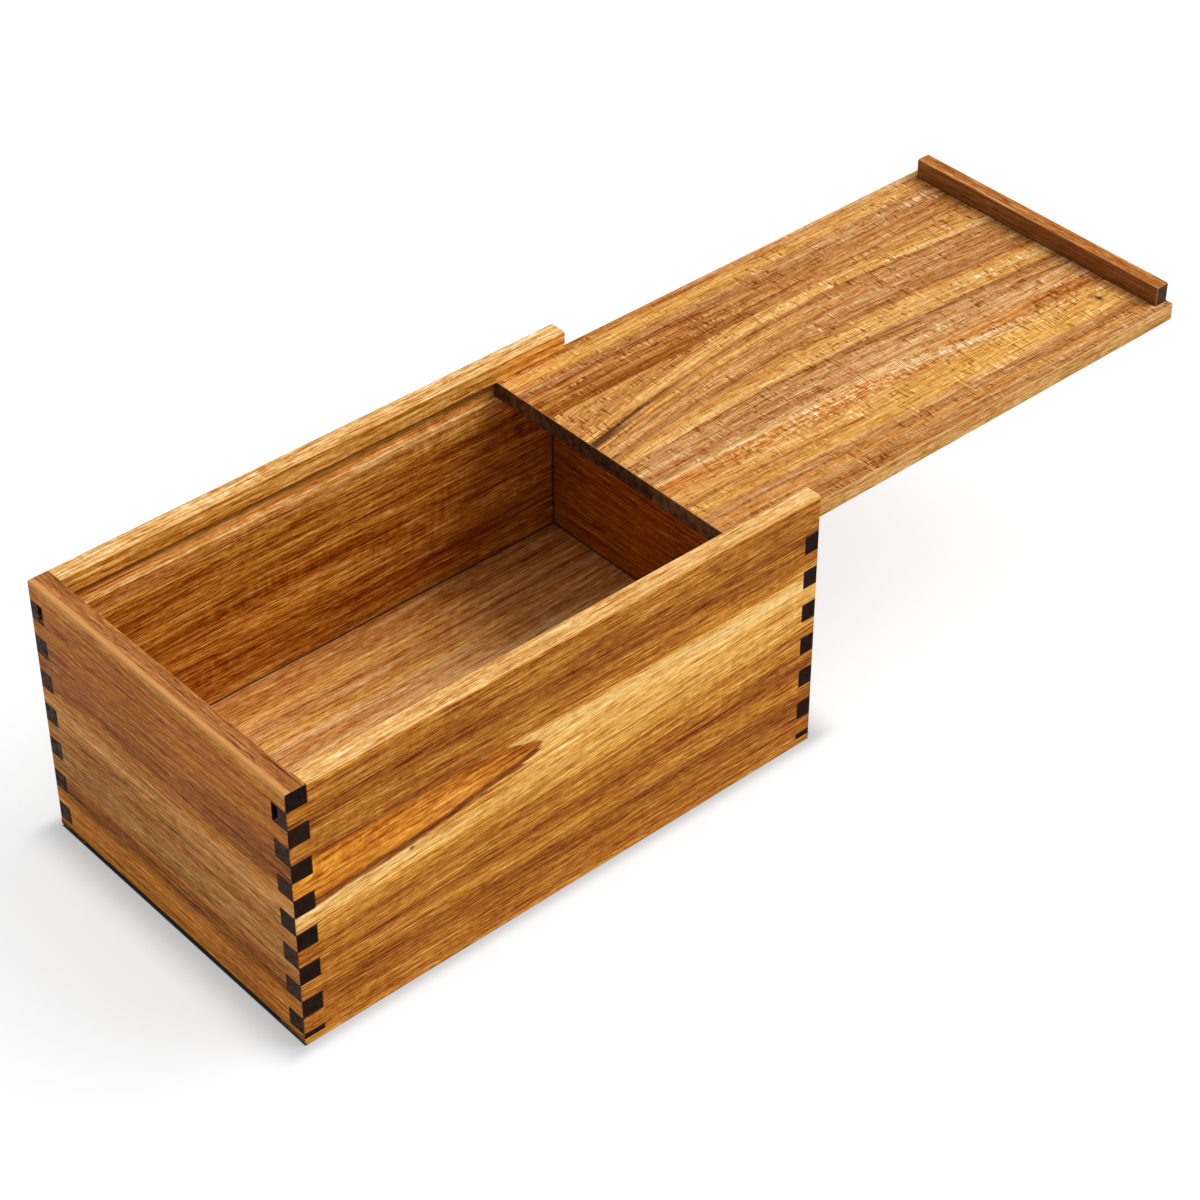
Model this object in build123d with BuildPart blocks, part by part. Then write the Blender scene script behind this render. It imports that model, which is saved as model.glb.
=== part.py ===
from build123d import *
import os

# Wooden storage box with finger-jointed corners and a lid that slides in grooves.
# Lengths are in millimetres. The origin lies on the table under the middle of the box.
# +X runs along the box to the open end, where the lid comes out, and +Z is up.
# The front long side is at -Y. The lid is drawn most of the way out of its grooves.

# Walls
box_length = 306.0
box_width = 188.0
side_thickness = 10.0
closed_end_thickness = 11.0
open_end_thickness = 9.0
front_upper_board_width = 42.0  # the front side is glued up of two boards

# Finger joints from the bottom up: a short finger, equal pairs, the lid groove and the lip
short_finger = 3.0
finger_height = 10.0
finger_pairs = 6
lip_height = 10.0

# Lid of three boards, and its grooves
lid_thickness = 9.4
lid_gap = 0.3                  # above and below the lid
groove_depth = 4.0
edge_gap = 0.5                 # between a lid edge and the bottom of its groove
lid_front_board_width = 60.0
lid_back_board_width = 43.0
held_length = 44.0             # stretch of the drawn-out lid that is still in the grooves
clear_run = 6.0                # from the box to the lid when it is right out

# Batten across the lid
batten_width = 8.0
batten_height = 10.5
batten_setback = 0.6           # from the end of the lid
batten_gap = 1.0               # between an end of the batten and the lip beside it

# Floor panel of two boards, held in grooves of all four walls
floor_height = 34.0            # top of the floor above the table
floor_thickness = 6.0
floor_tongue = 4.0             # how far the floor reaches into each wall
floor_gap = 0.15               # around the tongue in its groove
floor_back_board_width = 84.0

# Runners under the long sides
runner_height = 4.0
runner_width = 18.0
runner_end_radius = 2.5

# Eased edges
corner_radius = 1.2            # upright corners of the box
arris_radius = 1.0             # top edges of the walls
lid_corner_radius = 1.5
lid_arris_radius = 0.8         # also the edges of the batten
runner_arris_radius = 0.6

# Heights
groove_height = lid_thickness + 2 * lid_gap
lid_seat = runner_height + short_finger + 2 * finger_pairs * finger_height
lip_bottom = lid_seat + groove_height
box_height = lip_bottom + lip_height
lid_bottom = lid_seat + lid_gap
lid_top = lid_bottom + lid_thickness

# Planes of the walls
closed_outer_x = -box_length / 2
closed_inner_x = closed_outer_x + closed_end_thickness
open_outer_x = box_length / 2
open_inner_x = open_outer_x - open_end_thickness
outer_y = box_width / 2
inner_y = outer_y - side_thickness

# The lid when shut ends flush with the open end, and its place when drawn out
groove_end_x = closed_inner_x - groove_depth
lid_length = open_outer_x - groove_end_x - edge_gap
lid_width = 2 * (inner_y + groove_depth - edge_gap)
travel_to_shut = lid_length - held_length
travel_to_clear = held_length + clear_run
lid_tail_x = open_outer_x - held_length
lid_head_x = lid_tail_x + lid_length

# Each finger is its bottom height and its own height
side_fingers = [(lid_seat, groove_height)]
end_fingers = [(runner_height, short_finger)]
for pair in range(finger_pairs):
    pair_top = lid_seat - 2 * pair * finger_height
    end_fingers.append((pair_top - finger_height, finger_height))
    side_fingers.append((pair_top - 2 * finger_height, finger_height))
top_finger = (lip_bottom, lip_height)


def draw_block(low_u, high_u, low_v, high_v):
    """Draw a rectangle between four limits in the current sketch."""
    with Locations(((low_u + high_u) / 2, (low_v + high_v) / 2)):
        Rectangle(high_u - low_u, high_v - low_v)


def cut_slot(low_x, high_x, half_width, low_z, high_z):
    """Cut a flat slot, centred on the middle plane of the box, out of the current part."""
    with BuildSketch(Plane.XY.offset(low_z)) as slot:
        draw_block(low_x, high_x, -half_width, half_width)
    extrude(slot.sketch, amount=high_z - low_z, mode=Mode.SUBTRACT)


def cut_floor_groove():
    """Cut the room of the whole floor panel, so that each wall gets its stretch of groove."""
    reach = floor_tongue + floor_gap
    cut_slot(
        closed_inner_x - reach,
        open_inner_x + reach,
        inner_y + reach,
        floor_height - floor_thickness - floor_gap,
        floor_height + floor_gap,
    )


def corner_edges(board, end, side):
    """Upright outer edges of the fingers at one corner. For end and side, 0 is low and -1 high."""
    return board.edges().filter_by(Axis.Z).group_by(Axis.X)[end].group_by(Axis.Y)[side]


def end_board(outer_x, inner_x, top, fingers):
    """An end board: a panel between the long sides, with fingers that run out through them."""
    outward = 0 if outer_x < inner_x else -1
    runs_over_corners = top == box_height
    with BuildPart() as board:
        with BuildSketch(Plane.YZ.offset(outer_x)):
            draw_block(-inner_y, inner_y, runner_height, top)
        extrude(amount=inner_x - outer_x)
        panel_top = board.edges().filter_by(Axis.Y).group_by(Axis.Z)[-1]
        if runs_over_corners:
            panel_top -= panel_top.group_by(Axis.X)[outward]
        fillet(panel_top, arris_radius)
        with BuildSketch(Plane.YZ.offset(outer_x)):
            for bottom, height in fingers:
                draw_block(-outer_y, -inner_y, bottom, bottom + height)
                draw_block(inner_y, outer_y, bottom, bottom + height)
        extrude(amount=inner_x - outer_x)
        fillet(corner_edges(board, outward, 0), corner_radius)
        fillet(corner_edges(board, outward, -1), corner_radius)
        if runs_over_corners:
            top_edges = board.faces().sort_by(Axis.Z)[-1].edges()
            fillet(top_edges.filter_by_position(Axis.X, outer_x, inner_x - 2 * arris_radius), arris_radius)
        cut_floor_groove()
        cut_slot(groove_end_x, open_outer_x, inner_y, lid_seat, lip_bottom)
    return board.part


# Long sides: fingers at both ends, and over the low end panel the groove and lip run right out
with BuildPart() as front_side:
    with BuildSketch(Plane.XZ.offset(inner_y)):
        draw_block(closed_inner_x, open_inner_x, runner_height, box_height)
        draw_block(open_inner_x, open_outer_x, lid_seat, box_height)
        for bottom, height in side_fingers:
            draw_block(closed_outer_x, closed_inner_x, bottom, bottom + height)
            draw_block(open_inner_x, open_outer_x, bottom, bottom + height)
    extrude(amount=side_thickness)
    fillet(corner_edges(front_side, 0, 0), corner_radius)
    fillet(corner_edges(front_side, -1, 0), corner_radius)
    cut_slot(closed_outer_x, open_outer_x, inner_y + groove_depth, lid_seat, lip_bottom)
    cut_floor_groove()
    lip_end = front_side.edges().filter_by(Axis.Z).group_by(Axis.X)[-1].group_by(Axis.Z)[-1].sort_by(Axis.Y)[-1]
    fillet(lip_end, arris_radius)
    side_top = front_side.faces().sort_by(Axis.Z)[-1].edges()
    fillet(side_top.filter_by_position(Axis.X, closed_inner_x, open_outer_x, (False, True)), arris_radius)

with BuildPart() as back_side:
    mirror(front_side.part, about=Plane.XZ)

front_side_seam = Plane.XY.offset(box_height - front_upper_board_width)

with BuildPart() as front_side_upper_board:
    add(front_side.part)
    split(bisect_by=front_side_seam, keep=Keep.TOP)

with BuildPart() as front_side_lower_board:
    add(front_side.part)
    split(bisect_by=front_side_seam, keep=Keep.BOTTOM)

# End boards: the closed one at full height, the open one level with the bottom of the lid groove
with BuildPart() as closed_end:
    add(end_board(closed_outer_x, closed_inner_x, box_height, end_fingers + [top_finger]))

with BuildPart() as open_end:
    add(end_board(open_outer_x, open_inner_x, lid_seat, end_fingers))

# Floor panel, cut along the glue line of its boards
with BuildPart() as floor_panel:
    with BuildSketch(Plane.XY.offset(floor_height - floor_thickness)):
        floor_half_width = inner_y + floor_tongue
        draw_block(closed_inner_x - floor_tongue, open_inner_x + floor_tongue, -floor_half_width, floor_half_width)
    extrude(amount=floor_thickness)

floor_seam = Plane.XZ.offset(floor_back_board_width - floor_half_width)

with BuildPart() as floor_front_board:
    add(floor_panel.part)
    split(bisect_by=floor_seam, keep=Keep.TOP)

with BuildPart() as floor_back_board:
    add(floor_panel.part)
    split(bisect_by=floor_seam, keep=Keep.BOTTOM)

# Runners: strips under the long sides, rounded up at their ends
with BuildPart() as front_runner:
    with BuildSketch(Plane.XY):
        draw_block(closed_outer_x, open_outer_x, -outer_y, runner_width - outer_y)
    extrude(amount=runner_height)
    runner_foot = front_runner.faces().sort_by(Axis.Z)[0].edges()
    fillet(runner_foot.filter_by(Axis.Y), runner_end_radius)
    fillet(front_runner.faces().sort_by(Axis.Z)[0].edges().filter_by(Axis.X), runner_arris_radius)

with BuildPart() as back_runner:
    mirror(front_runner.part, about=Plane.XZ)

# Lid, cut along the glue lines of its boards
with BuildPart() as lid_panel:
    with BuildSketch(Plane.XY.offset(lid_bottom)):
        draw_block(lid_tail_x, lid_head_x, -lid_width / 2, lid_width / 2)
    extrude(amount=lid_thickness)
    fillet(lid_panel.edges().filter_by(Axis.Z), lid_corner_radius)
    fillet(lid_panel.faces().filter_by(Axis.Z).edges(), lid_arris_radius)

lid_front_seam = Plane.XZ.offset(lid_width / 2 - lid_front_board_width)
lid_back_seam = Plane.XZ.offset(lid_back_board_width - lid_width / 2)

with BuildPart() as lid_front_board:
    add(lid_panel.part)
    split(bisect_by=lid_front_seam, keep=Keep.TOP)

with BuildPart() as lid_middle_board:
    add(lid_panel.part)
    split(bisect_by=lid_front_seam, keep=Keep.BOTTOM)
    split(bisect_by=lid_back_seam, keep=Keep.TOP)

with BuildPart() as lid_back_board:
    add(lid_panel.part)
    split(bisect_by=lid_back_seam, keep=Keep.BOTTOM)

# Batten, glued across the lid between the lips
with BuildPart() as lid_batten:
    batten_head_x = lid_head_x - batten_setback
    batten_half_length = inner_y - batten_gap
    with BuildSketch(Plane.XY.offset(lid_top)):
        draw_block(batten_head_x - batten_width, batten_head_x, -batten_half_length, batten_half_length)
    extrude(amount=batten_height)
    fillet(lid_batten.edges() - lid_batten.faces().sort_by(Axis.Z)[0].edges(), lid_arris_radius)

pieces = {
    "front_side_upper_board": front_side_upper_board,
    "front_side_lower_board": front_side_lower_board,
    "back_side": back_side,
    "closed_end": closed_end,
    "open_end": open_end,
    "floor_front_board": floor_front_board,
    "floor_back_board": floor_back_board,
    "front_runner": front_runner,
    "back_runner": back_runner,
    "lid_front_board": lid_front_board,
    "lid_middle_board": lid_middle_board,
    "lid_back_board": lid_back_board,
    "lid_batten": lid_batten,
}

os.makedirs("parts", exist_ok=True)
for name, piece in pieces.items():
    piece.part.label = name
    export_step(piece.part, f"parts/{name}.step")

print(f"box {box_length} x {box_width} x {box_height}, lid {lid_length} x {lid_width} x {lid_thickness}")
print(f"lid slides {travel_to_shut} to shut and {travel_to_clear} to clear the box")
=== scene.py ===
import bpy
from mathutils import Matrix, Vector

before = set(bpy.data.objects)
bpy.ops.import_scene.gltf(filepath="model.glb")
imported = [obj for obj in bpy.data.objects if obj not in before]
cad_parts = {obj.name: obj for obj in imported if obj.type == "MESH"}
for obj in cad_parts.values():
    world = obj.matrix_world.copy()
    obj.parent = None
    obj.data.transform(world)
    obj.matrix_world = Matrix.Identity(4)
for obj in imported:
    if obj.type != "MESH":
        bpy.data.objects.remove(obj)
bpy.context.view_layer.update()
print("box loaded:", len(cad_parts), "pieces")

mm = 0.001


def paint(red, green, blue):
    # a colour as it looks on a screen, 0 to 255, turned into light
    light = []
    for value in (red, green, blue):
        value /= 255
        light.append(value / 12.92 if value <= 0.04045 else ((value + 0.055) / 1.055) ** 2.4)
    return (*light, 1.0)


# Shader maths. A Field is one socket, and each operator adds the node that works it out.
class Field:
    def __init__(self, finish, socket):
        self.finish = finish
        self.socket = socket

    def calc(self, operation, *others):
        if self.socket.type == "VECTOR":
            others = [(other,) * 3 if isinstance(other, (int, float)) else other for other in others]
            return self.finish.vector(operation, self, *others)
        return self.finish.math(operation, self, *others)

    def __add__(self, other): return self.calc("ADD", other)
    def __radd__(self, other): return self.finish.math("ADD", other, self)
    def __sub__(self, other): return self.calc("SUBTRACT", other)
    def __rsub__(self, other): return self.finish.math("SUBTRACT", other, self)
    def __mul__(self, other): return self.calc("MULTIPLY", other)
    def __rmul__(self, other): return self.finish.math("MULTIPLY", other, self)
    def __truediv__(self, other): return self.calc("DIVIDE", other)
    def __rtruediv__(self, other): return self.finish.math("DIVIDE", other, self)
    def __neg__(self): return self.finish.math("MULTIPLY", self, -1)
    def __abs__(self): return self.finish.math("ABSOLUTE", self)
    def __lt__(self, other): return self.finish.math("LESS_THAN", self, other)
    def __gt__(self, other): return self.finish.math("GREATER_THAN", self, other)

    def least(self, other): return self.calc("MINIMUM", other)
    def most(self, other): return self.calc("MAXIMUM", other)
    def root(self): return self.finish.math("SQRT", self)

    # 0 below low, 1 above high, and a soft step between them
    def rise(self, low, high):
        return self.finish.add(
            "ShaderNodeMapRange",
            {"interpolation_type": "SMOOTHSTEP"},
            {"Value": self, "From Min": low, "From Max": high},
        )

    def fall(self, low, high):
        return 1 - self.rise(low, high)

    # the same steps over a length, with both limits in mm
    def riseMm(self, low, high):
        return self.rise(low * mm, high * mm)

    def fallMm(self, low, high):
        return self.fall(low * mm, high * mm)


class Finish:
    def __init__(self, owner):
        self.material = owner
        owner.use_nodes = True
        self.tree = owner.node_tree
        self.tree.nodes.clear()

    # the one way to add a node: its settings first, then the values or links of its sockets
    def add(self, kind, settings=None, sockets=None, out=0):
        node = self.tree.nodes.new(kind)
        for key, value in (settings or {}).items():
            if key == "stops":
                self.setStops(node.color_ramp, value)
            else:
                setattr(node, key, value)
        for key, value in (sockets or {}).items():
            if isinstance(value, Field):
                self.tree.links.new(value.socket, node.inputs[key])
            else:
                node.inputs[key].default_value = value
        return Field(self, node.outputs[out]) if node.outputs else node

    def setStops(self, ramp, stops):
        while len(ramp.elements) > 1:
            ramp.elements.remove(ramp.elements[-1])
        for number, (place, colour) in enumerate(stops):
            element = ramp.elements[0] if number == 0 else ramp.elements.new(place)
            element.position = place
            element.color = colour

    def math(self, operation, *values):
        return self.add("ShaderNodeMath", {"operation": operation}, dict(enumerate(values)))

    def vector(self, operation, *values):
        return self.add("ShaderNodeVectorMath", {"operation": operation}, dict(enumerate(values)))

    def join(self, x, y, z):
        return self.add("ShaderNodeCombineXYZ", {}, {"X": x, "Y": y, "Z": z})

    # the object's own coordinates, or its normal, as three fields
    def parts(self, output):
        point = self.add("ShaderNodeTexCoord", out=output)
        node = self.add("ShaderNodeSeparateXYZ", {}, {"Vector": point}).socket.node
        return [Field(self, socket) for socket in node.outputs]

    def noise(self, point, detail=2.0, roughness=0.5, distortion=0.0):
        texture = {"Scale": 1.0, "Detail": detail, "Roughness": roughness, "Distortion": distortion}
        return self.add("ShaderNodeTexNoise", {}, {"Vector": point, **texture})

    # sockets 0, 6 and 7 are the factor and the two colours, and output 2 is the mixed colour
    def cover(self, share, under, over, way="MIX"):
        settings = {"data_type": "RGBA", "blend_type": way}
        return self.add("ShaderNodeMix", settings, {0: share, 6: under, 7: over}, out=2)

    def deepen(self, colour, power):
        return self.add("ShaderNodeGamma", {}, {"Color": colour, "Gamma": power})

    # socket 0 is the factor: 1 where the camera looks, 0 where light bounces
    def splitByRay(self, bounced, seen):
        cameraRay = self.add("ShaderNodeLightPath", out="Is Camera Ray")
        return self.add("ShaderNodeMixShader", {}, {0: cameraRay, 1: bounced, 2: seen})


# The faces and joints of the box, in mm, as the pieces were cut, how its gaps are drawn, and the painted
# shade in its inside corners and groove slots
joints = {
    "closedFace": -153,
    "closedSeam": -142,
    "openSeam": 144,
    "openFace": 153,
    "sideSeam": 84,
    "grooveBack": 88,
    "sideFace": 94,
    "firstLevel": 7,
    "finger": 10,
    "floorTop": 34,
    "lidSeat": 127,
    "lipBottom": 137,
    "roundedTop": 146,
    "lineWidth": 0.45,
    "lineDepth": 0.8,
    "cornerShadeReach": 1.0,
    "cornerShadeDepth": 0.65,
    "shadeReach": 14,
    "shadeDepth": 0.16,
    "slotShadeDepth": 0.9,
    "gapRelief": -1.2,
}


# one of these lengths in metres, or a place a little past it
def at(key, past=0.0):
    return (joints[key] + past) * mm


# Noise of each kind of grain: repeats in a metre along and across the board, a shift that keeps the
# kinds apart, then detail, roughness and distortion
grain = {
    "slow": (5, 16, 0, 1),
    "quick": (28, 150, 0, 1),
    "streaks": (3.8, 130, 0, 5, 0.76),
    "strokes": (22, 440, 3, 2, 0.8),
    "flecks": (170, 950, 6, 2, 0.8),
    "grit": (360, 560, 1, 1),
    "pores": (90, 1000, 9, 1),
    "patches": (11, 30, 5, 1),
    "ripple": (300, 75, 2, 1, 0.5, 0.3),
    "fineLines": (12, 640, 12, 1),
    "wideLines": (4, 190, 15, 1),
    "paleLines": (11, 560, 18, 1),
    "arcs": (12, 260, 0, 2, 0.6),
    "specks": (700, 1500, 0, 1),
    "fuzz": (60, 420, 4, 2),
    "cutPatches": (18, 40, 8, 3),
    "cutBreaks": (120, 260, 10, 1),
}

# How much a board shows of each kind, unless its own dictionary says otherwise. Bend and wiggle are
# in mm, and the stain is what brown does to the light, channel by channel.
plainBoard = {
    "bend": 9,
    "wiggle": 1.2,
    "streaks": 1.4,
    "strokes": 0.5,
    "flecks": 2.3,
    "lines": 0.95,
    "grit": 0.25,
    "ripple": 0.0,
    "pores": 0.4,
    "evenDepth": 0.24,  # taken off everywhere, so that the grain leaves a board as pale as its bands
    "paleDepth": 0.65,  # where the grain makes a band paler, it does so by this share of its depth
    "vary": 0.4,  # how far the ends of the fingers differ from each other
    "stain": (0.43, 0.23, 0.07, 1),
    "bump": 0.5,
    "bumpHeight": 0.3,
    "rough": 0.5,
    "shine": 0.06,
}

# a board's seed moves its grain this far along it, across it and into it
seedSteps = (7.3, 3.1, 5.7)


# One board. Its grain runs along it, and the streaks go right through, so every face agrees with the next.
class Board(Finish):
    def __init__(self, name, look, drift=None):
        super().__init__(bpy.data.materials.new(name + "Wood"))
        self.look = {**plainBoard, **look}
        self.seed = look["seed"]
        self.x, self.y, self.z = self.parts("Object")
        facing = self.parts("Normal")
        self.up = facing[2]
        self.faceX, self.faceY, self.faceZ = (abs(part) for part in facing)
        places = {"x": self.x, "y": self.y, "z": self.z}
        faces = {"x": self.faceX, "y": self.faceY, "z": self.faceZ}
        along, wide, deep = look["axes"]
        self.along, self.wide, self.deep = places[along], places[wide], places[deep]
        self.endMask = faces[along].rise(0.55, 0.8)
        self.arrisMask = self.faceX.most(self.faceY).most(self.faceZ).fall(0.86, 0.985)
        self.bendGrain(drift)

    # one kind of noise, long along the grain; given the waved coordinate, it follows the bent grain
    def grow(self, kind, wide=None):
        alongScale, acrossScale, shift, *texture = grain[kind]
        wide = self.wide if wide is None else wide
        alongStep, acrossStep, deepStep = (self.seed * step for step in seedSteps)
        point = self.join(
            self.along * alongScale + (alongStep + shift),
            wide * acrossScale + acrossStep,
            self.deep * acrossScale + (deepStep - shift),
        )
        return self.noise(point, *texture)

    def bendGrain(self, drift):
        slow, quick = self.grow("slow") - 0.5, self.grow("quick") - 0.5
        self.waved = self.wide + slow * (self.look["bend"] * mm) + quick * (self.look["wiggle"] * mm)
        if drift is not None:
            self.waved = self.waved - drift(self)
        self.streaks = self.grow("streaks", self.waved)
        self.strokes = self.grow("strokes", self.waved).rise(0.36, 0.64)
        self.flecks = self.grow("flecks", self.waved)
        self.grit = self.grow("grit")
        self.pores = self.grow("pores", self.waved).rise(0.58, 0.66)
        self.patches = self.grow("patches")
        self.ripple = (self.grow("ripple") - 0.5) * self.patches.rise(0.46, 0.66)
        self.lines = (
            self.hairlines("fineLines", 0.05) * 0.7
            + self.hairlines("wideLines", 0.03) * 0.25
            - self.hairlines("paleLines", 0.05) * 0.5
        )

    # 1 on thin lines that wander along the grain
    def hairlines(self, kind, reach):
        return abs(self.grow(kind, self.waved) - 0.5).fall(0, reach)

    # broad bands of colour across the board: places in mm along the given coordinate
    def bands(self, place, stops):
        low, high = stops[0][0], stops[-1][0]
        share = (place - low * mm) * (1 / ((high - low) * mm))
        marks = [((spot - low) / (high - low), tone) for spot, tone in stops]
        return self.add("ShaderNodeValToRGB", {"stops": marks}, {"Fac": share})

    # the bands at one end of the board turn into those at its other end, over a border that wanders
    def crossing(self, place, nearStops, farStops, turn):
        near, far = self.bands(place, nearStops), self.bands(place, farStops)
        return self.cover((self.along + (self.patches - 0.5) * (80 * mm)).riseMm(*turn), near, far)

    # brown laid on a colour, or taken off it where the depth is below 0
    def stain(self, colour, depth):
        return self.cover(1.0, colour, self.deepen(self.look["stain"], depth), "MULTIPLY")

    # streaks, strokes and pores drawn over a colour, more quietly where the wood is pale
    def figure(self, colour):
        look = self.look
        calm = 1.2 - self.add("ShaderNodeRGBToBW", {}, {"Color": colour})
        depth = (
            (0.5 - self.streaks) * look["streaks"]
            + (0.5 - self.strokes) * look["strokes"]
            + (0.5 - self.flecks) * look["flecks"]
            + self.lines * look["lines"]
            + (0.5 - self.grit) * look["grit"]
            + self.ripple * look["ripple"]
            + self.pores * look["pores"]
            - look["evenDepth"]
        )
        return self.stain(colour, (depth.most(0) + depth.least(0) * look["paleDepth"]) * calm)

    # end grain: dark, finely speckled, with the streaks showing as arcs
    def endGrain(self, dark, light, spread=1.0):
        arcs, specks = self.grow("arcs", self.waved) - 0.5, self.grow("specks") - 0.5
        number = self.add("ShaderNodeTexWhiteNoise", {"noise_dimensions": "1D"}, {"W": self.cutNumber()})
        share = arcs * (1.7 * spread) + specks * 0.9 + (number - 0.5) * self.look["vary"] + 0.42
        return self.cover(share.most(0).least(1), dark, light)

    # a number for each finger of a joint, so that no two ends look the same
    def cutNumber(self):
        level = self.math("FLOOR", (self.z - at("firstLevel")) / at("finger"))
        return level + self.math("SIGN", self.y) * 0.31 + self.seed

    # close up the surface: colour, gloss and the relief of strokes and pores
    def close(self, colour, extraHeight=None):
        look = self.look
        height = self.strokes * 0.5 + self.flecks * 0.6 - self.pores * 0.6
        if extraHeight is not None:
            height = height + extraHeight
        relief = {"Strength": look["bump"], "Distance": look["bumpHeight"] * mm, "Height": height}
        rough = look["rough"] + self.strokes * 0.1 + self.endMask * 0.2 - self.arrisMask * 0.06
        surface = {
            "Base Color": colour,
            "Roughness": rough.most(0.2),
            "Normal": self.add("ShaderNodeBump", {}, relief),
            "IOR": 1.46,
            "Specular IOR Level": look["shine"],
        }
        shader = self.add("ShaderNodeBsdfPrincipled", {}, surface)
        self.add("ShaderNodeOutputMaterial", {}, {"Surface": shader})
        return self.material


# give a piece of the box its material
def dress(node, material):
    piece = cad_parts[node]
    for slot in piece.material_slots:
        slot.material = material
    print("dressed", node)


# Wood tones
straw = paint(244, 182, 92)
honey = paint(231, 163, 70)
amber = paint(209, 136, 46)
ochre = paint(192, 118, 34)
tawny = paint(178, 104, 28)
russet = paint(164, 91, 20)
chestnut = paint(150, 79, 14)
umber = paint(112, 60, 14)
cream = paint(232, 186, 128)
biscuit = paint(224, 164, 90)
butter = paint(220, 155, 72)
sand = paint(210, 150, 84)
flax = paint(208, 144, 78)
copper = paint(190, 119, 52)
rust = paint(196, 119, 46)
apricot = paint(206, 126, 52)
walnut = paint(176, 104, 46)
oldWalnut = paint(160, 94, 42)
hazel = paint(184, 124, 64)
caramel = paint(206, 136, 64)
toffee = paint(178, 107, 36)
bistre = paint(140, 84, 32)
espresso = paint(30, 19, 15)
bark = paint(64, 42, 32)


# 1 on the thin lines where the fingers meet on the outside of the box
def jointLines(board):
    level, thin = at("finger"), at("lineWidth")
    toLevel = abs(board.math("WRAP", board.z - at("firstLevel"), level / 2, -level / 2))
    phase = board.math("FLOORED_MODULO", board.z - at("firstLevel", joints["finger"]), 2 * level)
    belowLid = ((board.x < 0) + (board.z < at("lidSeat", 0.3))).least(1)
    endFinger = (phase < level) * belowLid
    toSeamX = abs(board.x - at("closedSeam")).least(abs(board.x - at("openSeam")))
    pastX = (board.x < at("closedSeam")) + (board.x > at("openSeam"))
    fromMiddle = abs(board.y)
    toSeamY = abs(fromMiddle - at("sideSeam"))
    pastY = fromMiddle > at("sideSeam")
    levelLine = toLevel.fall(thin * 0.2, thin) * (board.z < at("roundedTop")) * belowLid
    onSides = (toSeamX.fall(thin * 0.2, thin) * endFinger).most(levelLine * pastX)
    onEnds = (toSeamY.fall(thin * 0.2, thin) * (1 - endFinger)).most(levelLine * pastY)
    onSides = onSides * (fromMiddle > at("sideFace", -0.5))
    return onSides.most(onEnds * (abs(board.x) > at("openFace", -0.5)))


# painted shade in the corners inside the box: a thin dark crease where the pieces meet, and a soft shade
# round it
def insideCornerShade(board):
    fromMiddle = abs(board.y)
    toOpenEnd = abs(board.x - at("openSeam")) + (board.z > at("lidSeat"))
    toX = abs(board.x - at("closedSeam")).least(toOpenEnd) + board.faceX
    toY = abs(fromMiddle - at("sideSeam")) + board.faceY
    toZ = abs(board.z - at("floorTop")) + board.faceZ
    nearest = toX.least(toY).least(toZ)
    inside = (
        (fromMiddle < at("sideSeam", 0.2))
        * (board.x < at("openSeam", 0.2))
        * (board.x > at("closedSeam", -0.2))
        * (board.z > at("floorTop", -0.2))
    )
    creaseShade = nearest.fall(at("cornerShadeReach") * 0.3, at("cornerShadeReach")) * joints["cornerShadeDepth"]
    return (creaseShade + nearest.fall(0, at("shadeReach")) * joints["shadeDepth"]) * inside


# 1 at the back of the lid groove, where the lip keeps the light off
def lidGroove(board):
    fromMiddle = abs(board.y)
    recessed = (fromMiddle > at("sideSeam", 0.3)) * (fromMiddle < at("grooveBack", 0.3))
    shaded = recessed * board.z.rise(at("lidSeat", 1), at("lidSeat", 6)) * (board.z < at("lipBottom", 0.2))
    return shaded * board.faceY.rise(0.6, 0.9)


# painted shade in the open slots where the lid grooves come out at the closed end
def grooveSlotShade(board):
    fromMiddle = abs(board.y)
    return (
        (board.x < at("closedSeam", 4))
        * (board.x > at("closedFace", 0.2))
        * (fromMiddle < at("grooveBack", 0.2))
        * (board.z > at("lidSeat", 0.1))
        * (board.z < at("lipBottom", -0.1))
        * (fromMiddle > at("sideSeam", 0.1))
    )


# What the four walls share, unless a wall's own dictionary says otherwise
plainWall = {
    "turn": (-60, 60),
    "edge": paint(232, 174, 100),
    "edgeShare": 0.85,
    "endDark": paint(24, 10, 6),
    "endLight": paint(50, 27, 18),
    "wearAndHighlight": 0.5,
    "wornAndHighlit": paint(240, 196, 128),
    "grooveShade": 0.75,
}


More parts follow.
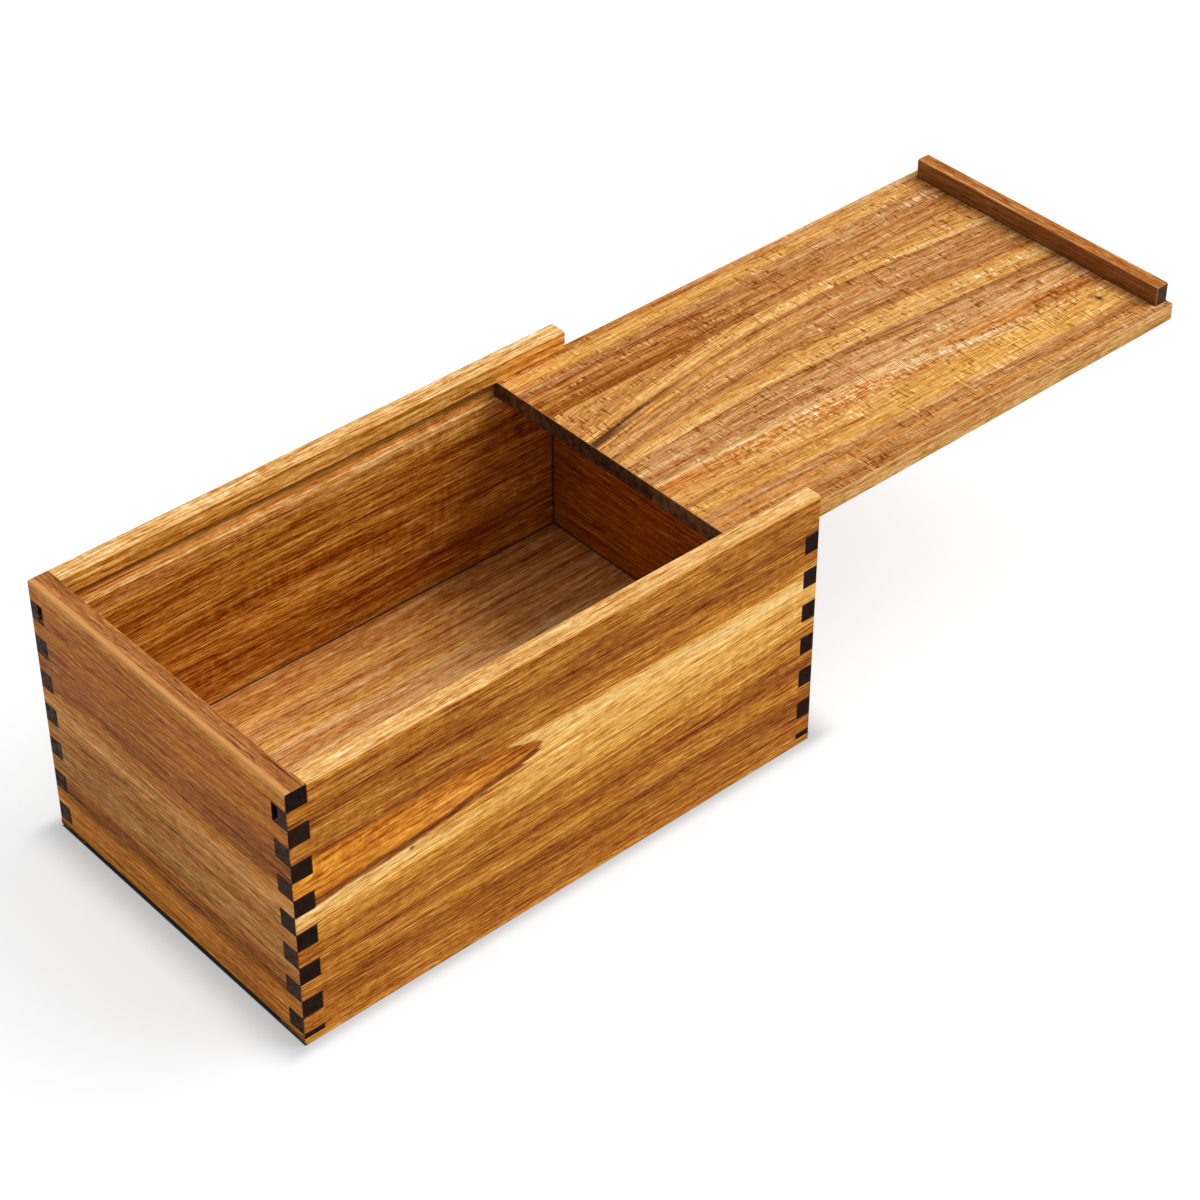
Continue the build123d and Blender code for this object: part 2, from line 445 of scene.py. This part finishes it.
# A wall of the box: its outer and inner faces differ, its top edge is paler, and its fingers end dark.
# Middle is the plane between the two faces, and inward is 1 where the inner face lies above it.
def wallWood(name, ownLook, drift=None, ownFigure=None, ownBorder=None):
    look = {**plainWall, **ownLook}
    board = Board(name, look, drift)
    outer = board.crossing(board.waved, look["outer"], look.get("outerFar", look["outer"]), look["turn"])
    inner = board.bands(board.waved, look["inner"])
    innerShare = ((board.deep - look["middle"] * mm) * look["inward"]).riseMm(-1.5, 1.5)
    colour = board.cover(innerShare, outer, inner)
    if ownFigure is not None:
        colour = ownFigure(board, colour)
    colour = board.cover(board.up.rise(0.5, 0.85) * look["edgeShare"], colour, look["edge"])
    colour = board.figure(colour)
    colour = board.cover(board.endMask, colour, board.endGrain(look["endDark"], look["endLight"]))
    # paler top arrises: worn wood, with a painted highlight along them
    wornAndHighlit = board.arrisMask * (board.streaks.rise(0.3, 0.6) * 0.5 + 0.5) * look["wearAndHighlight"] * (1 - board.endMask)
    colour = board.cover(wornAndHighlit * board.faceZ.rise(0.15, 0.4), colour, look["wornAndHighlit"])
    if ownBorder is not None:
        colour = ownBorder(board, colour)
    colour = board.cover(lidGroove(board) * look["grooveShade"], colour, umber)
    # dark joint lines, with the painted shade of the inside corners and the groove slots
    jointsAndShade = (jointLines(board) * joints["lineDepth"]).most(insideCornerShade(board))
    jointsAndShade = jointsAndShade.most(grooveSlotShade(board) * joints["slotShadeDepth"])
    colour = board.cover(jointsAndShade, colour, espresso)
    return board.close(colour, extraHeight=jointsAndShade * joints["gapRelief"])


# Front long side: a brown board over a pale one that holds the heart and climbs to the right
frontUpper = {
    "axes": ("x", "z", "y"),
    "seed": 1.0,
    "bend": 4,
    "outer": [
        (105, russet), (108, chestnut), (111, tawny), (117, russet), (121, tawny), (123.5, chestnut),
        (129, chestnut), (133, russet), (137, tawny), (144.5, tawny), (146, ochre), (147, amber),
    ],
    "outerFar": [
        (105, ochre), (110, ochre), (112.5, tawny), (116.5, tawny), (119, russet), (126, chestnut),
        (131, russet), (136, tawny), (144.5, tawny), (146, ochre), (147, amber),
    ],
    "turn": (-80, 30),
    "inner": [(105, caramel), (120, ochre), (128, amber), (147, amber)],
    "middle": -89,
    "inward": 1,
    "streaks": 1.1,
    "flecks": 2.6,
    "lines": 1.1,
    "ripple": 0.8,
    "wearAndHighlight": 0.8,
    "endDark": paint(38, 26, 25),
    "endLight": paint(86, 64, 56),
}
frontLower = {
    "axes": ("x", "z", "y"),
    "seed": 1.5,
    "bend": 4,
    "climb": 0.06,
    "outer": [
        (3, umber), (5, tawny), (12, tawny), (17, tawny), (20, russet), (25, chestnut), (28, chestnut),
        (31, tawny), (36.5, ochre), (41, tawny), (45, chestnut), (48, russet), (52, ochre), (56.5, tawny),
        (61, russet), (66, ochre), (71.6, amber), (75, honey), (79, straw), (84, honey), (105, honey),
    ],
    "outerFar": [
        (3, umber), (5, tawny), (12, tawny), (19, russet), (25, chestnut), (29, chestnut), (32, tawny),
        (38, ochre), (42.3, tawny), (45, chestnut), (48, russet), (50, tawny), (53, ochre), (57, amber),
        (61, tawny), (63.8, amber), (67.5, honey), (71, amber), (74.5, straw), (80.5, honey), (86, straw),
        (100, straw), (103, honey), (105, honey),
    ],
    "turn": (-80, 30),
    "inner": [(30, ochre), (60, russet), (90, ochre), (105, russet)],
    "middle": -89,
    "inward": 1,
    "streaks": 1.2,
    "flecks": 2.6,
    "lines": 1.1,
    "ripple": 0.6,
    "endDark": paint(38, 26, 25),
    "endLight": paint(86, 64, 56),
}

# The heart in the lower board, in mm: where its tip is, how round the tip is, and how its two edges
# part behind it. The line and the knot lie under it.
heart = {
    "tip": (-15, 96.5),
    "roundLength": 12,
    "belowTip": 4.8,
    "belowSlope": 0.06,
    "belowSag": 4.2,
    "aboveTip": 1.7,
    "aboveSlope": 0.42,
    "rimWidth": (3.075, 4.92),
    "rimTone": paint(116, 48, 3),
    "tipTone": paint(170, 84, 8),
    "glowTones": (paint(208, 122, 26), paint(226, 144, 52)),
    "fringeTone": paint(246, 200, 120),
    "lineHeight": 72.7,
    "knot": (-89.6, 78.8),
    "fuzzLength": 14,
    "fuzzHeight": 1.6,
}


# the lower board's streaks climb towards the open end, except at its foot and at its glue line
def frontDrift(board):
    climb = board.x * frontLower["climb"]
    return climb * board.z.riseMm(28, 72) * board.z.fallMm(92, 106)


# the heart: a long dark-edged tongue with a pale fringe under it
def heartFigure(board, colour, fuzz):
    tipX, tipZ = (place * mm for place in heart["tip"])
    roundLength = heart["roundLength"] * mm
    back = tipX - board.x + fuzz * (heart["fuzzLength"] * mm)  # how far behind the tip a point lies
    near, far = back.most(0).least(roundLength), (back - roundLength).most(0)
    height = board.z - tipZ + fuzz * (heart["fuzzHeight"] * mm)
    sag = back.riseMm(15, 75) * (heart["belowSag"] * mm)
    fromEdge = height + (near * (heart["belowTip"] * mm)).root() + far * heart["belowSlope"] + sag
    toTop = (near * (heart["aboveTip"] * mm)).root() + far * heart["aboveSlope"] - height
    inside = fromEdge.riseMm(-0.5, 0.5) * toTop.riseMm(-0.8, 1.0) * back.riseMm(-3, 4)
    outside = fromEdge.fallMm(-0.2, 0.4)
    fringe = outside * fromEdge.riseMm(-9, -2) * back.riseMm(46, 80)
    fringe = fringe.most(toTop.fallMm(-0.4, 0.6) * toTop.riseMm(-9, -2) * back.fallMm(22, 40))
    colour = board.cover(fringe * 0.55, colour, heart["fringeTone"])
    warm = outside * fromEdge.riseMm(-10, -4) * back.riseMm(8, 30) * back.fallMm(52, 84)
    colour = board.cover(warm * 0.6, colour, ochre)
    tongue = board.cover(back.riseMm(20, 46) * back.fallMm(46, 76) * 0.6, *heart["glowTones"])
    upper = board.z.riseMm(97, 102.5) * back.fallMm(44, 112) * 0.9
    tip = back.fallMm(14, 42).most(upper) * (fuzz * 1.6 + 0.9)
    tongue = board.cover(tip.least(1), tongue, heart["tipTone"])
    tongue = board.cover(fromEdge.fallMm(*heart["rimWidth"]) * 0.95, tongue, heart["rimTone"])
    return board.cover(inside * 0.95, colour, tongue)


# the heart, one thin russet line under it and a pin knot
def frontFigure(board, colour):
    fuzz = board.grow("fuzz") - 0.5
    colour = heartFigure(board, colour, fuzz)
    toLine = abs((board.waved - heart["lineHeight"] * mm + fuzz * (1.5 * mm)) / (1 * mm))
    line = toLine.fall(0.3, 1.1) * board.x.riseMm(-60, -30) * board.x.fallMm(60, 110)
    colour = board.cover(line * 0.55, colour, russet)
    knotX, knotZ = board.x - heart["knot"][0] * mm, board.z - heart["knot"][1] * mm
    knot = (knotX * knotX * 0.4 + knotZ * knotZ).root().fallMm(0.4, 1.3)
    return board.cover(knot * 0.9, colour, umber)


dress("front_side_upper_board", wallWood("frontUpperBoard", frontUpper))
dress("front_side_lower_board", wallWood("frontLowerBoard", frontLower, frontDrift, frontFigure))

# Back long side: golden lip, redder wood with a ripple in it below the lid groove
backSide = {
    "axes": ("x", "z", "y"),
    "seed": 2.0,
    "bend": 6,
    "outer": [
        (3, umber), (10, ochre), (34, amber), (48, russet), (60, amber), (82, honey), (100, amber),
        (112, russet), (128, ochre), (147, amber),
    ],
    "inner": [
        (30, caramel), (38, ochre), (46, tawny), (54, russet), (62, tawny), (68, amber), (78, tawny),
        (84, russet), (90, ochre), (93, amber), (97, tawny), (105, ochre), (112, tawny), (119, amber),
        (123, caramel), (127, honey), (137, honey), (140, amber), (143, honey), (147, amber),
    ],
    "middle": 89,
    "inward": -1,
    "streaks": 1.3,
    "strokes": 0.8,
    "flecks": 2.9,
    "lines": 1.25,
    "ripple": 1.5,
    "endDark": paint(44, 31, 29),
    "endLight": paint(112, 90, 74),
}
dress("back_side", wallWood("backSide", backSide))

closedEnd = {
    "axes": ("y", "z", "x"),
    "seed": 3.0,
    "bend": 4,
    "outer": [
        (3, umber), (5, ochre), (10, rust), (14, apricot), (21, apricot), (24.5, toffee), (29, bistre),
        (33, oldWalnut), (37, walnut), (42, hazel), (50, hazel), (56, hazel), (60, walnut), (64, hazel),
        (68.5, hazel), (71, caramel), (75, flax), (81, flax), (84, copper), (90, copper),
        (92.5, oldWalnut), (98, oldWalnut), (106, oldWalnut), (112, walnut), (117, walnut), (121, toffee),
        (127, walnut), (134, walnut), (140, toffee), (143, copper), (147, caramel),
    ],
    "inner": [(30, chestnut), (60, russet), (90, chestnut), (120, ochre), (147, ochre)],
    "middle": -147.5,
    "inward": 1,
    "stain": (0.42, 0.31, 0.24, 1),
    "streaks": 1.4,
    "lines": 1.1,
    "flecks": 2.4,
    "edge": paint(164, 100, 54),
    "wearAndHighlight": 0.3,
    "wornAndHighlit": paint(214, 154, 94),
    "borderWidth": (2.2, 3.4),
    "borderFoot": (145.4, 146.4),
    "borderTone": paint(228, 162, 92),
}


# the pale wavy border along the outer arris of the closed end
def paleBorder(board, colour):
    look = board.look
    reach = board.x - at("closedFace") + (board.streaks - 0.5) * (4 * mm)
    share = reach.fallMm(*look["borderWidth"]) * board.z.riseMm(*look["borderFoot"]) * (1 - board.endMask)
    return board.cover(share * 0.75, colour, look["borderTone"])


dress("closed_end", wallWood("closedEnd", closedEnd, ownBorder=paleBorder))

openEnd = {
    "axes": ("y", "z", "x"),
    "seed": 4.0,
    "bend": 5,
    "outer": [
        (3, umber), (10, russet), (40, chestnut), (62, russet), (80, ochre), (100, chestnut), (127, russet),
    ],
    "inner": [(30, chestnut), (50, russet), (70, chestnut), (90, russet), (110, chestnut), (127, russet)],
    "middle": 148.5,
    "inward": -1,
    "edge": paint(214, 162, 98),
    "wornAndHighlit": paint(230, 184, 118),
}
dress("open_end", wallWood("openEnd", openEnd))


# Floor panel: paler and greyer than the walls, with painted shade where it meets them
def floorWood(name, look):
    board = Board(name, look)
    colour = board.figure(board.bands(board.waved, look["bands"]))
    colour = board.cover(insideCornerShade(board), colour, espresso)
    return board.close(colour)


floorBack = {
    "axes": ("x", "y", "z"),
    "seed": 5.0,
    "bend": 8,
    "streaks": 1.1,
    "bands": [
        (0, biscuit), (6, cream), (9, sand), (14, biscuit), (22, biscuit), (26, sand), (29, caramel),
        (34, sand), (42, butter), (46, caramel), (52, sand), (55, copper), (58, caramel), (63, butter),
        (69, copper), (76, caramel), (88, copper),
    ],
}
floorFront = {
    "axes": ("x", "y", "z"),
    "seed": 6.0,
    "bend": 8,
    "streaks": 1.1,
    "bands": [
        (-88, flax), (-60, biscuit), (-52, sand), (-44, biscuit), (-36, flax), (-25, biscuit),
        (-20, butter), (-10, biscuit),
    ],
}
dress("floor_back_board", floorWood("floorBackBoard", floorBack))
dress("floor_front_board", floorWood("floorFrontBoard", floorFront))


# a runner under a long side, with brown end grain
def runnerWood(name, look):
    board = Board(name, look)
    colour = board.figure(board.bands(board.waved, look["bands"]))
    colour = board.cover(board.endMask, colour, board.endGrain(bark, paint(140, 98, 58)))
    return board.close(colour)


frontRunner = {"axes": ("x", "y", "z"), "seed": 7.0, "bands": [(-94, ochre), (-84, russet), (-76, chestnut)]}
backRunner = {"axes": ("x", "y", "z"), "seed": 8.0, "bands": [(76, chestnut), (84, russet), (94, ochre)]}
dress("front_runner", runnerWood("frontRunner", frontRunner))
dress("back_runner", runnerWood("backRunner", backRunner))
print("box finished")

# The lid, in mm: where its tail, back edge, glue lines and batten lie. What is drawn on it is placed
# from its tail along the grain and from its back edge across.
lid = {
    "tail": 109,
    "back": 87.5,
    "seams": (44.5, -27.5),
    "battenFaces": (398.9, 406.9),
    "battenReach": 83.2,
    "turn": (170, 330),
    "cutScales": (430, 50, 90),
    "cutWidth": (0.006, 0.04),
    "darkCuts": 0.95,
    "paleCuts": 0.45,
    "headSheen": 0.04,
    "sideTone": paint(208, 148, 74),
    "arrisTone": paint(236, 190, 120),
}

# What its three boards share
plainLid = {"axes": ("x", "y", "z"), "streaks": 1.3, "lines": 0.6, "vary": 0.0}


# short cuts across the grain, in patches, dark ones and pale ones
def crossCuts(board):
    patch = board.grow("cutPatches").rise(0.35, 0.6) * 0.7 + 0.3
    broken = board.grow("cutBreaks").rise(0.44, 0.56)
    alongScale, wideScale, deepScale = lid["cutScales"]
    drawn = []
    for shift in (0, 5):
        point = board.join(
            board.along * alongScale + shift,
            board.wide * wideScale + shift,
            board.deep * deepScale + board.seed,
        )
        drawn.append(abs(board.noise(point, 1.0) - 0.5).fall(*lid["cutWidth"]) * patch * broken)
    return drawn[0] * lid["darkCuts"] - drawn[1] * lid["paleCuts"]


# a board of the lid: its figure, the cuts on its top, its dark end grain and the shade at the batten's foot
def lidWood(name, ownLook, drift=None, ownFigure=None):
    look = {**plainLid, **ownLook}
    board = Board(name, look, drift)
    fromTail, fromBack = board.x - lid["tail"] * mm, lid["back"] * mm - board.waved
    colour = board.crossing(fromBack, look["bands"], look["farBands"], lid["turn"])
    if ownFigure is not None:
        colour = ownFigure(board, colour, fromTail, fromBack)
    # painted sheen: the lid grows a little paler towards its head
    colour = board.cover(fromTail.riseMm(60, 280) * lid["headSheen"], colour, cream)
    colour = board.cover(board.faceY.rise(0.6, 0.9) * 0.7, colour, lid["sideTone"])
    colour = board.figure(colour)
    onTop = board.up.rise(0.8, 0.95)
    cuts = crossCuts(board) * onTop
    colour = board.stain(colour, cuts)
    colour = board.cover(board.endMask, colour, board.endGrain(look["endDark"], look["endLight"], 1.3))
    colour = board.cover(board.arrisMask * 0.5 * (1 - board.endMask), colour, lid["arrisTone"])
    firstSeam, secondSeam = (place * mm for place in lid["seams"])
    toSeam = abs(board.y - firstSeam).least(abs(board.y - secondSeam))
    innerFace, outerFace = (place * mm for place in lid["battenFaces"])
    toBatten = (innerFace - board.x).most(board.x - outerFace).fallMm(0.1, 1.3)
    underBatten = toBatten * (abs(board.y) < lid["battenReach"] * mm) * onTop
    # dark glue lines between the boards, and the painted shade at the batten's foot
    jointsAndShade = (toSeam.fallMm(0.05, 0.3) * 0.4).most(underBatten * 0.85)
    colour = board.cover(jointsAndShade, colour, espresso)
    return board.close(colour, extraHeight=cuts * -1.0 - jointsAndShade)


lidBack = {
    "seed": 11.0,
    "bend": 5,
    "bands": [
        (0, tawny), (5, copper), (8, butter), (14, butter), (17, caramel), (19, hazel), (23, walnut),
        (26, copper), (28, caramel), (30, walnut), (33, russet), (35, copper), (38, chestnut), (43, chestnut),
    ],
    "farBands": [
        (0, biscuit), (3, sand), (6, caramel), (10, butter), (13, caramel), (17, hazel), (20, flax),
        (24, hazel), (27, copper), (29, walnut), (31, copper), (34, caramel), (37, walnut), (40, caramel),
        (43, caramel),
    ],
    "endDark": paint(52, 36, 27),
    "endLight": paint(126, 88, 54),
}
lidMiddle = {
    "seed": 12.0,
    "bend": 4,
    "bands": [
        (24, caramel), (34, copper), (40, caramel), (44, butter), (47.5, biscuit), (50.3, butter),
        (51.6, copper), (52.6, oldWalnut), (54, copper), (57, caramel), (59.5, butter), (61, caramel),
        (62.2, walnut), (63.5, caramel), (67, hazel), (69, caramel), (72, sand), (74.5, caramel),
        (76, walnut), (79, hazel), (82, caramel), (85, butter), (90, biscuit), (92.3, butter),
        (93.6, oldWalnut), (95.2, hazel), (98, sand), (102.5, hazel), (105, sand), (110, walnut),
        (113, hazel), (116, biscuit),
    ],
    "farBands": [
        (43, caramel), (46, butter), (50, biscuit), (51.4, caramel), (52.4, oldWalnut), (54, copper),
        (58, hazel), (61, caramel), (63, walnut), (65, hazel), (68, flax), (70, copper), (72, hazel),
        (76, walnut), (78, caramel), (81, butter), (86, biscuit), (90.5, butter), (92, oldWalnut),
        (94, hazel), (98, flax), (101, hazel), (104, sand), (108, flax), (112, hazel), (114, sand),
        (117, flax),
    ],
    "endDark": paint(44, 30, 24),
    "endLight": paint(104, 70, 44),
    "crest": (257, -1.85),
    "archRise": (67.3, -0.653),
    "archFall": (90, 0.085),
    "streakPlace": 53.2,
    "corePlace": 55.4,
    "streakTone": paint(76, 38, 16),
}
lidFront = {
    "seed": 13.0,
    "bend": 5,
    "slant": 0.031,
    "bands": [
        (112, biscuit), (115.5, biscuit), (116.5, cream), (118, apricot), (121, rust), (124, apricot),
        (128, caramel), (133, butter), (135.5, caramel), (136.5, walnut), (138, caramel), (143, butter),
        (147, caramel), (150, hazel), (154, copper), (158, caramel), (162, hazel), (166, copper),
        (170, hazel), (175, copper),
    ],
    "farBands": [
        (106, sand), (112, flax), (116, sand), (118, caramel), (119, apricot), (124, rust), (127, apricot),
        (131, butter), (135, honey), (138, butter), (142, honey), (145, butter), (149, caramel), (152, hazel),
        (156, copper), (160, caramel), (164, hazel), (170, copper), (175, caramel),
    ],
    "endDark": paint(66, 46, 32),
    "endLight": paint(140, 102, 64),
    "turnPlace": 165,
    "bandPlace": 122.5,
    "bandSlope": 0.09,
    "highlightPlace": 120.5,
    "highlightSlope": 0.136,
    "glintScales": (240, 620),
    "patch": (268, 121.5),
    "knot": (274, 137.5),
    "glintTone": paint(248, 204, 130),
    "highlightTone": paint(250, 216, 160),
    "patchTone": paint(172, 94, 30),
}


# the middle board's lines arch over the lid, steeply at its tail, and less towards its front seam
def middleDrift(board):
    fromTail, fromBack = board.x - lid["tail"] * mm, lid["back"] * mm - board.y
    (crestPlace, crestSlope), (risePlace, riseSlope) = lidMiddle["crest"], lidMiddle["archRise"]
    crest = crestPlace * mm + fromBack * crestSlope
    rise = (risePlace * mm + fromBack * riseSlope).most(0)
    behind, ahead = (1 - fromTail / crest.most(20 * mm)).most(0), (fromTail - crest).most(0)
    length, drop = lidMiddle["archFall"]
    return -(behind * behind * rise + ahead * ahead / (ahead + length * mm) * drop)


# a dark knot-like streak at the tail of the middle board
def middleStreak(board, colour, fromTail, fromBack):
    toStreak = abs(fromBack - lidMiddle["streakPlace"] * mm)
    halo = toStreak.fallMm(2, 8) * fromTail.fallMm(5, 60)
    colour = board.cover(halo * 0.7, colour, tawny)
    streak = toStreak.fallMm(0.6, 2.6) * fromTail.fallMm(20, 80)
    core = abs(fromBack - lidMiddle["corePlace"] * mm).fallMm(1.6, 5.6) * fromTail.fallMm(8, 40)
    return board.cover(streak.most(core) * 0.92, colour, lidMiddle["streakTone"])


# the front board's lines run a little nearer to its front edge at its head
def frontBoardDrift(board):
    return -(board.x - lid["tail"] * mm) * lidFront["slant"]


# painted highlights: bright glints in a slanting band and a pale painted highlight in it; also an orange
# patch by the batten and a knot beside it
def frontHighlightsPatchAndKnot(board, colour, fromTail, fromBack):
    pastTurn = fromTail - lidFront["turnPlace"] * mm
    toBand = fromBack - (lidFront["bandPlace"] * mm + pastTurn.most(0) * lidFront["bandSlope"])
    band = abs(toBand).fallMm(3, 8) * fromTail.riseMm(10, 80)
    long, short = lidFront["glintScales"]
    lying = board.noise(board.join(board.x * long, fromBack * short, 3.0), 1.0).rise(0.53, 0.6)
    standing = board.noise(board.join(board.x * short, fromBack * long, 6.0), 1.0).rise(0.56, 0.62)
    colour = board.cover(band * lying.most(standing) * 0.6, colour, lidFront["glintTone"])
    # a pale painted highlight along the band
    toHighlight = fromBack - lidFront["highlightPlace"] * mm - pastTurn * lidFront["highlightSlope"]
    highlight = abs(toHighlight).fallMm(0.5, 3.4) * fromTail.riseMm(135, 170) * fromTail.fallMm(205, 228)
    broken = board.streaks.rise(0.35, 0.55) * 0.6 + 0.4
    colour = board.cover(highlight * broken * 0.75, colour, lidFront["highlightTone"])
    patchX, patchY = (place * mm for place in lidFront["patch"])
    patch = abs(fromTail - patchX).fallMm(12, 36) * abs(fromBack - patchY).fallMm(2.4, 5.5)
    colour = board.cover(patch * (1 - lying * 0.7) * 0.85, colour, lidFront["patchTone"])
    knotX, knotY = fromTail - lidFront["knot"][0] * mm, fromBack - lidFront["knot"][1] * mm
    knot = (knotX * knotX + knotY * knotY * 0.15).root()
    colour = board.cover(knot.fallMm(0.8, 3.4) * 0.55, colour, chestnut)
    return board.cover(knot.fallMm(0.4, 1.2) * 0.95, colour, espresso)


dress("lid_back_board", lidWood("lidBackBoard", lidBack))
dress("lid_middle_board", lidWood("lidMiddleBoard", lidMiddle, middleDrift, middleStreak))
dress("lid_front_board", lidWood("lidFrontBoard", lidFront, frontBoardDrift, frontHighlightsPatchAndKnot))


# the batten is darker on its long upright faces, a painted shade
def battenWood(name, look):
    board = Board(name, look)
    colour = board.figure(board.bands(board.waved, look["bands"]))
    colour = board.cover(board.faceX.rise(0.7, 0.95) * 0.75, colour, look["sideTone"])
    colour = board.cover(board.endMask, colour, board.endGrain(look["endDark"], look["endLight"]))
    colour = board.cover(board.arrisMask * 0.45, colour, look["arrisTone"])
    return board.close(colour)


batten = {
    "axes": ("y", "x", "z"),
    "seed": 14.0,
    "bend": 2,
    "bands": [(398.9, caramel), (401, walnut), (403, toffee), (405, walnut), (406.9, caramel)],
    "vary": 0.0,
    "sideTone": paint(104, 54, 22),
    "endDark": paint(48, 34, 26),
    "endLight": paint(100, 74, 52),
    "arrisTone": paint(214, 156, 100),
}
dress("lid_batten", battenWood("lidBatten", batten))
print("lid finished")

# Studio. The foot of the box and its shade are in mm, and the rest in metres.
studio = {
    "tableReach": 6.0,
    "tableGrain": 40,
    "floorTone": (0.84, 0.87, 0.91, 1),
    "paperTone": (0.325, 0.335, 0.345, 1),
    "paperGlow": 0.72,
    "paperShine": 0.1,
    "footSize": (153, 94),
    "footShade": (36, 0.38),
    "sideSqueeze": 2.4,
    "gapShade": 0.985,
    "skyLevel": 0.5,
    "keyFrom": (0.75, -0.42, 1.0),
    "keyLevel": 2.1,
    "keySoftness": 0.75,
    "lens": 94.35,
    "sensor": 36,
    "cameraPlace": (-0.6821, -0.8851, 1.0083),
    "cameraAim": (0.0572, -0.0497, 0.1102),
}
white, black = (1, 1, 1, 1), (0, 0, 0, 1)


# 1 on the bare table, less in the soft shade round the box, and next to nothing in the gap under it
def footShade(finish):
    x, y = (abs(part) for part in finish.parts("Object")[:2])
    footX, footY = (size * mm for size in studio["footSize"])
    pastX, pastY = (x - footX).most(0), ((y - footY) * studio["sideSqueeze"]).most(0)
    reach, depth = studio["footShade"]
    nearBox = (pastX * pastX + pastY * pastY).root().fallMm(0, reach)
    underBox = (x - footX).most(y - footY).fallMm(-0.5, 0.5)
    return 1 - (nearBox * nearBox * nearBox * depth).most(underBox * studio["gapShade"])


def makeFloor():
    mesh = bpy.data.meshes.new("tableTop")
    reach = studio["tableReach"]
    corners = [(-reach, -reach, 0), (reach, -reach, 0), (reach, reach, 0), (-reach, reach, 0)]
    mesh.from_pydata(corners, [], [(0, 1, 2, 3)])
    table = bpy.data.objects.new("tableTop", mesh)
    bpy.context.scene.collection.objects.link(table)
    finish = Finish(bpy.data.materials.new("tablePaper"))
    paperGrain = finish.noise(finish.add("ShaderNodeTexCoord", out="Object") * studio["tableGrain"])
    shade = footShade(finish)
    surface = {"Roughness": 0.9 - paperGrain * 0.05, "Specular IOR Level": studio["paperShine"]}
    bounced = {**surface, "Base Color": studio["floorTone"]}
    seen = {
        **surface,
        "Base Color": finish.cover(shade, black, studio["paperTone"]),
        "Emission Color": finish.cover(shade, black, white),
        "Emission Strength": studio["paperGlow"],
    }
    shaders = [finish.add("ShaderNodeBsdfPrincipled", {}, sockets) for sockets in (bounced, seen)]
    finish.add("ShaderNodeOutputMaterial", {}, {"Surface": finish.splitByRay(*shaders)})
    mesh.materials.append(finish.material)


def makeSky():
    world = bpy.data.worlds.new("studioSky")
    bpy.context.scene.world = world
    sky = Finish(world)
    levels = (studio["skyLevel"], 1.0)
    shaders = [sky.add("ShaderNodeBackground", {}, {"Color": white, "Strength": level}) for level in levels]
    sky.add("ShaderNodeOutputWorld", {}, {"Surface": sky.splitByRay(*shaders)})


def makeKey():
    lamp = bpy.data.lights.new("keyLamp", "SUN")
    lamp.energy = studio["keyLevel"]
    lamp.angle = studio["keySoftness"]
    key = bpy.data.objects.new("keyLamp", lamp)
    bpy.context.scene.collection.objects.link(key)
    key.rotation_mode = "QUATERNION"
    key.rotation_quaternion = Vector(studio["keyFrom"]).to_track_quat("Z", "Y")


def makeCamera():
    lens = bpy.data.cameras.new("camera")
    lens.lens = studio["lens"]
    lens.sensor_width = studio["sensor"]
    camera = bpy.data.objects.new("camera", lens)
    bpy.context.scene.collection.objects.link(camera)
    place, aim = Vector(studio["cameraPlace"]), Vector(studio["cameraAim"])
    camera.location = place
    camera.rotation_mode = "QUATERNION"
    camera.rotation_quaternion = (place - aim).to_track_quat("Z", "Y")
    bpy.context.scene.camera = camera


makeFloor()
makeSky()
makeKey()
makeCamera()
bpy.context.scene.view_settings.view_transform = "Standard"
print("studio lit")
